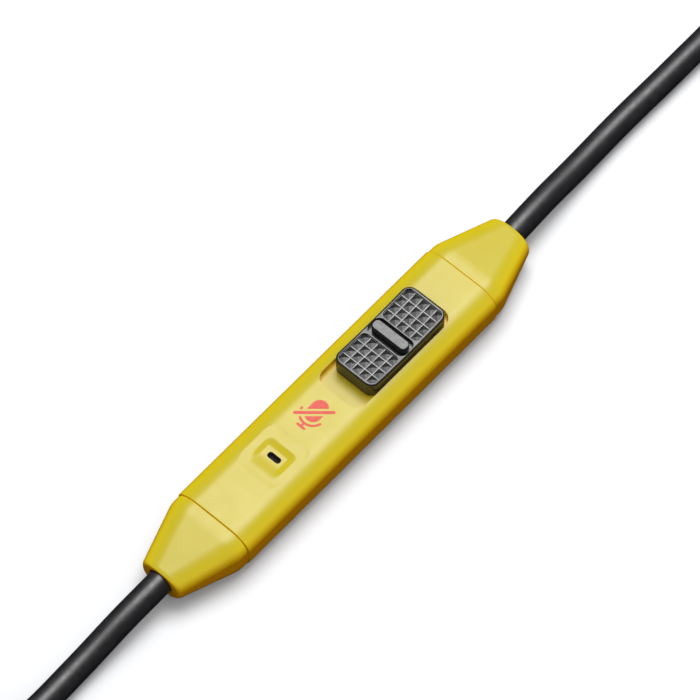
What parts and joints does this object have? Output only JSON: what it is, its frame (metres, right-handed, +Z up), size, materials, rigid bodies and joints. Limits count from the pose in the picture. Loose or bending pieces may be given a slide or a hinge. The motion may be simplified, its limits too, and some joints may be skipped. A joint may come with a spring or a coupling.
{
  "type": "in-line headset control",
  "caption": "Slim in-line microphone and mute control on a black headphone lead, with a sliding thumb switch, tapered end caps and a plug at each end of the lead.",
  "frame": {"origin": "centre of the control's base, on the surface that it lies on", "axes": "+X along the lead towards the headphones, +Z up through the thumb slider"},
  "size_m": [0.2717, 0.0293, 0.0131],
  "materials": {
    "yellow_shell": "satin moulded",
    "black_knob": "satin moulded",
    "black_jacket": "satin elastomer jacket",
    "black_rubber": "matte",
    "plug_black": "satin moulded",
    "tie_fabric": "hook and loop",
    "gold": "polished plating",
    "tin": "tinned steel",
    "brass": "spring brass",
    "board_green": "solder mask",
    "dark_chip": "matte",
    "tan_chip": "ceramic",
    "white_plastic": "natural moulded",
    "mesh_grey": "acoustic mesh",
    "wire_red": "insulated",
    "wire_green": "insulated",
    "wire_copper": "insulated",
    "wire_blue": "insulated"
  },
  "bodies": {
    "housing": {"front_shell": "yellow_shell", "rear_shell": "yellow_shell", "headset_end_cap": "yellow_shell", "source_end_cap": "yellow_shell", "circuit_board": "board_green", "resistor_1": "dark_chip", "resistor_2": "dark_chip", "capacitor_1": "tan_chip", "microphone_boot": "black_rubber", "microphone_capsule": "tin", "microphone_mesh": "mesh_grey", "microphone_lead_1": "tin", "microphone_lead_2": "tin", "switch_base": "dark_chip", "switch_frame": "tin", "switch_terminal_1": "tin", "switch_terminal_2": "tin", "switch_terminal_3": "tin", "headset_lead_end": "black_jacket", "source_lead_end": "black_jacket", "headset_crimp": "tin", "source_crimp": "tin", "headset_wire_1": "wire_red", "headset_wire_2": "wire_green", "headset_wire_3": "wire_copper", "source_wire_1": "wire_red", "source_wire_2": "wire_green", "source_wire_3": "wire_copper", "source_wire_4": "wire_blue", "headset_lead": "black_jacket", "headset_hank": "black_jacket", "headset_tail": "black_jacket", "headset_tie": "tie_fabric", "source_lead": "black_jacket", "source_hank": "black_jacket", "source_tie": "tie_fabric", "headset_plug_handle": "plug_black", "headset_plug_sleeve": "gold", "headset_plug_ring": "gold", "headset_plug_tip": "gold", "headset_plug_insulator_1": "plug_black", "headset_plug_insulator_2": "plug_black", "source_plug_handle": "plug_black", "source_plug_sleeve": "gold", "source_plug_ring_1": "gold", "source_plug_ring_2": "gold", "source_plug_tip": "gold", "source_plug_insulator_1": "plug_black", "source_plug_insulator_2": "plug_black", "source_plug_insulator_3": "plug_black"},
    "slider": {"mute_knob": "black_knob", "knob_retainer": "white_plastic", "switch_actuator": "dark_chip", "switch_contact": "brass"}
  },
  "joints": [
    {"name": "mute_slide", "type": "slide", "parent": "housing", "child": "slider", "axis": [1, 0, 0], "range_m": [-0.0024, 0]}
  ]
}
